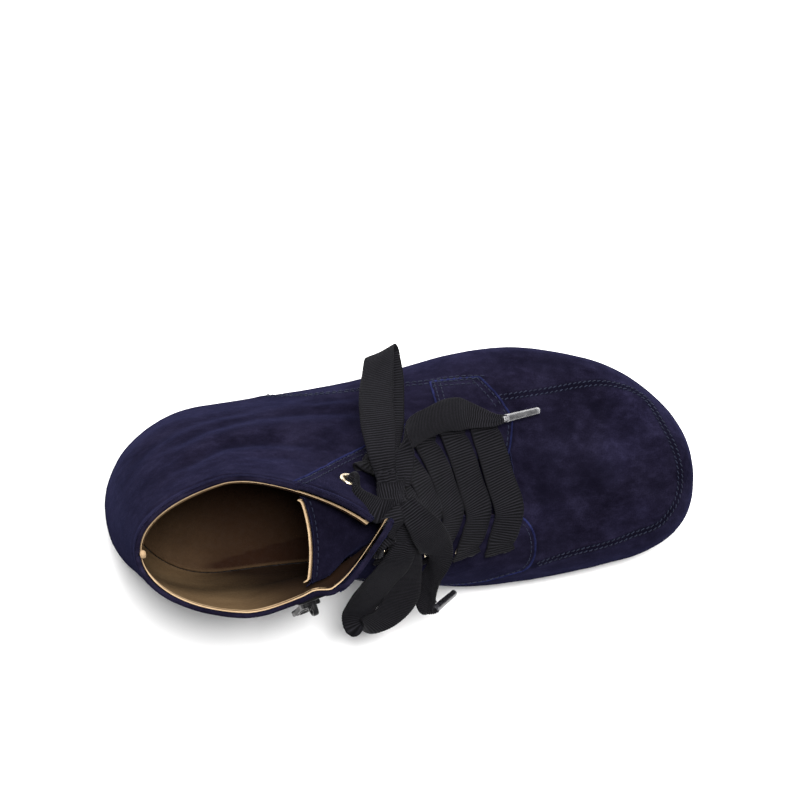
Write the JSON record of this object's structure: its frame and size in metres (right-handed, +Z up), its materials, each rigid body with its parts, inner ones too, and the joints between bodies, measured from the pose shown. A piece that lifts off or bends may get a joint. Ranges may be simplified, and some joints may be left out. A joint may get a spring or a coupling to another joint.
{
  "type": "child's suede ankle boot",
  "caption": "Child's navy suede ankle boot for the left foot, with a moccasin-style apron, ribbon lace tied in a bow, metal eyelets, inside zip, tan lining and low rubber heel.",
  "frame": {"origin": "on the floor, under the middle of the boot's bounding box without its bow", "axes": "+X from heel to toe, +Y to the outer (lateral) side of a left foot, +Z up from the floor"},
  "size_m": [0.1804, 0.0891, 0.1014],
  "materials": {
    "suede": "navy suede, napped, matt",
    "sole": "moulded rubber, matt",
    "lining": "tan leather lining, semi-matt",
    "ribbon": "black ribbed grosgrain ribbon",
    "eyelet": "pale brass, polished",
    "aglet": "smoky clear plastic",
    "zip_nylon": "black woven tape and nylon coil",
    "zip_metal": "black lacquered metal"
  },
  "bodies": {
    "boot": {"outsole": "sole", "upper": "suede", "insole": "lining", "tongue": "suede", "eyelet_lateral_1": "eyelet", "eyelet_lateral_2": "eyelet", "eyelet_lateral_3": "eyelet", "eyelet_lateral_4": "eyelet", "eyelet_lateral_5": "eyelet", "eyelet_lateral_6": "eyelet", "eyelet_medial_1": "eyelet", "eyelet_medial_2": "eyelet", "eyelet_medial_3": "eyelet", "eyelet_medial_4": "eyelet", "eyelet_medial_5": "eyelet", "eyelet_medial_6": "eyelet", "lace_bars": "ribbon", "bow_knot": "ribbon", "bow_loop_lateral": "ribbon", "bow_loop_medial": "ribbon", "lace_end_lateral": "ribbon", "lace_end_medial": "ribbon", "aglet_lateral": "aglet", "aglet_medial": "aglet", "zip_tape": "zip_nylon", "zip_chain": "zip_nylon", "zip_slider": "zip_metal"},
    "pull_tab": {"zip_pull": "zip_metal"}
  },
  "joints": [
    {"name": "pull_tab_hinge", "type": "hinge", "parent": "boot", "child": "pull_tab", "pos_m": [-0.02766, -0.02479, 0.08951], "axis": [-0.9051, -0.2773, 0.3223], "range_deg": [0, 165]}
  ]
}
